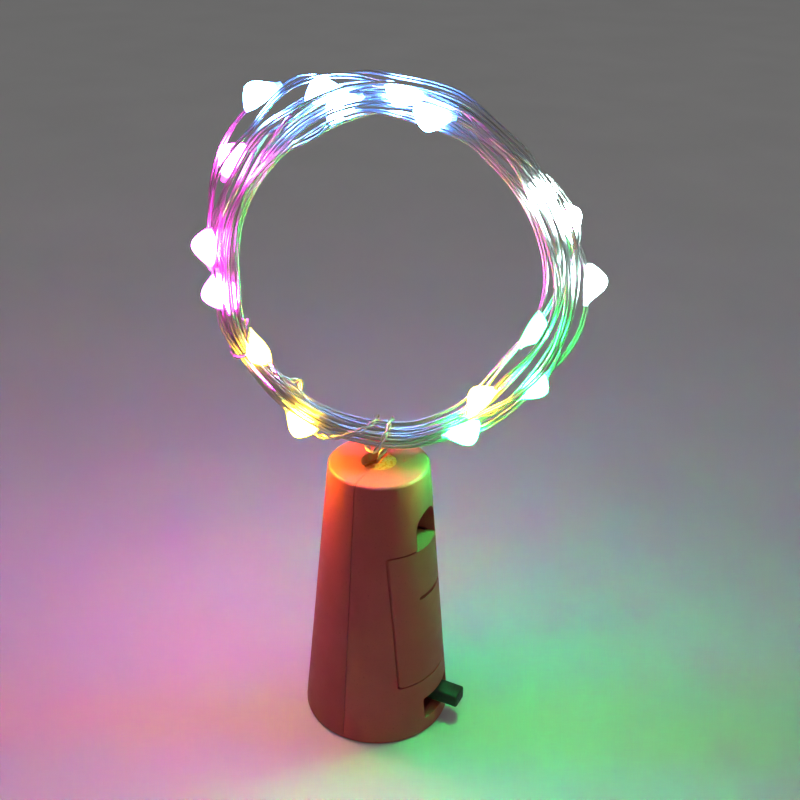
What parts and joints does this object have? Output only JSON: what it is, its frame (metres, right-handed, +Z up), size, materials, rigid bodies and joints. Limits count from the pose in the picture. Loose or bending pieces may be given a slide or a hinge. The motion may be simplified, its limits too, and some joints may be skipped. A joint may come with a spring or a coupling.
{
  "type": "bottle light",
  "caption": "Tapered stopper with a battery bay, slide switch and lift-off door, and a string of coloured lights wound into a ring above it.",
  "frame": {"origin": "middle of the flat base that the stopper stands on", "axes": "+Z up along the stopper's axis to the cord hole, +X out through the battery door"},
  "size_m": [0.0527, 0.0329, 0.1024],
  "materials": {
    "cork_plastic": "satin",
    "cell_steel": "polished",
    "contact_steel": "satin",
    "switch_steel": "satin",
    "copper": "satin",
    "board_green": "satin",
    "phenolic": "matte",
    "switch_black": "satin",
    "hot_glue": "gloss",
    "lead_red": "satin",
    "lead_black": "satin",
    "string_wire": "polished",
    "bead_green": "gloss",
    "bead_blue": "gloss",
    "bead_pink": "gloss",
    "bead_amber": "gloss",
    "bead_white": "gloss"
  },
  "bodies": {
    "root": {"shell_front": "cork_plastic", "shell_back": "cork_plastic", "cell_1": "cell_steel", "cell_2": "cell_steel", "cell_3": "cell_steel", "negative_plate": "contact_steel", "positive_plate": "contact_steel", "negative_spring": "contact_steel", "switch_pin_1": "copper", "switch_pin_2": "copper", "switch_pin_3": "copper", "circuit_board": "board_green", "switch_base": "phenolic", "switch_frame": "switch_steel", "resistor": "switch_black", "glue_plug": "hot_glue", "lead_positive": "lead_red", "lead_negative": "lead_black", "string_coil": "string_wire", "string_lead": "string_wire", "string_tail": "string_wire", "led_bead_04": "bead_green", "led_bead_07": "bead_green", "led_bead_10": "bead_green", "led_bead_02": "bead_blue", "led_bead_05": "bead_blue", "led_bead_08": "bead_blue", "led_bead_11": "bead_blue", "led_bead_14": "bead_blue", "led_bead_03": "bead_pink", "led_bead_06": "bead_pink", "led_bead_09": "bead_pink", "led_bead_12": "bead_pink", "led_bead_17": "bead_pink", "led_bead_01": "bead_amber", "led_bead_15": "bead_amber", "led_bead_18": "bead_amber", "led_bead_20": "bead_amber", "led_bead_13": "bead_white", "led_bead_16": "bead_white", "led_bead_19": "bead_white"},
    "battery_door": {"battery_door": "cork_plastic"},
    "switch_slider": {"switch_slider": "switch_black", "switch_wiper": "copper"}
  },
  "joints": [
    {"name": "door_lift", "type": "slide", "parent": "root", "child": "battery_door", "axis": [1, 0, 0], "range_m": [0, 0.02]},
    {"name": "switch_slide", "type": "slide", "parent": "root", "child": "switch_slider", "axis": [0, -1, 0], "range_m": [0, 0.002]}
  ]
}
